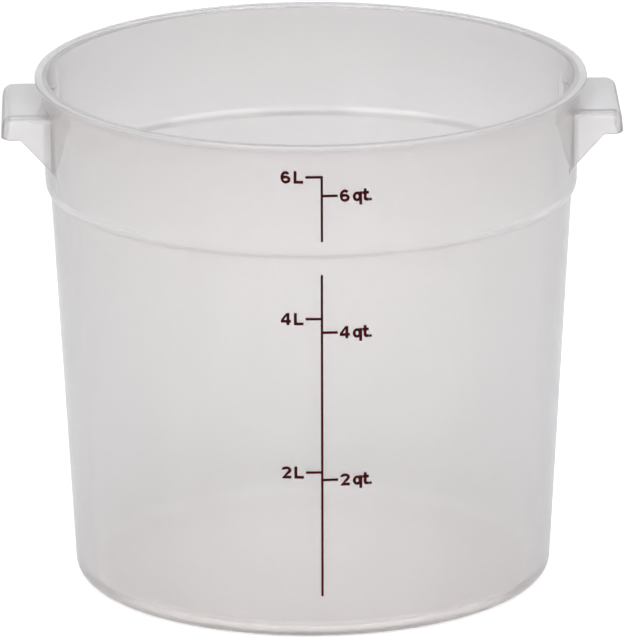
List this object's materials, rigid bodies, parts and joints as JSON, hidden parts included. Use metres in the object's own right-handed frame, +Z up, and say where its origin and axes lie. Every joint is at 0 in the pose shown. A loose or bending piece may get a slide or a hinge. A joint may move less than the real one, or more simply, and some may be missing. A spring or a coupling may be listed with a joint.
{
  "type": "round food storage container",
  "caption": "Round milky see-through food storage tub with a tapered wall, a wide lipped collar, hollow side handles and a printed litre and quart scale.",
  "frame": {"origin": "middle of the foot, on the surface that the tub stands on", "axes": "+X towards one handle, the right one in the picture; -Y out of the wall that carries the scale; +Z up"},
  "size_m": [0.2492, 0.222, 0.208],
  "materials": {
    "milky_polypropylene": "as-moulded, milky see-through, soft sheen",
    "maroon_ink": "screen-printed ink, dark maroon"
  },
  "bodies": {
    "root": {"tub": "milky_polypropylene", "upper_scale_line": "maroon_ink", "lower_scale_line": "maroon_ink", "litre_6_number": "maroon_ink", "litre_6_letter_l": "maroon_ink", "litre_4_number": "maroon_ink", "litre_4_letter_l": "maroon_ink", "litre_2_number": "maroon_ink", "litre_2_letter_l": "maroon_ink", "quart_6_number": "maroon_ink", "quart_6_letter_q": "maroon_ink", "quart_6_letter_t": "maroon_ink", "quart_6_point": "maroon_ink", "quart_4_number": "maroon_ink", "quart_4_letter_q": "maroon_ink", "quart_4_letter_t": "maroon_ink", "quart_4_point": "maroon_ink", "quart_2_number": "maroon_ink", "quart_2_letter_q": "maroon_ink", "quart_2_letter_t": "maroon_ink", "quart_2_point": "maroon_ink"}
  },
  "joints": []
}
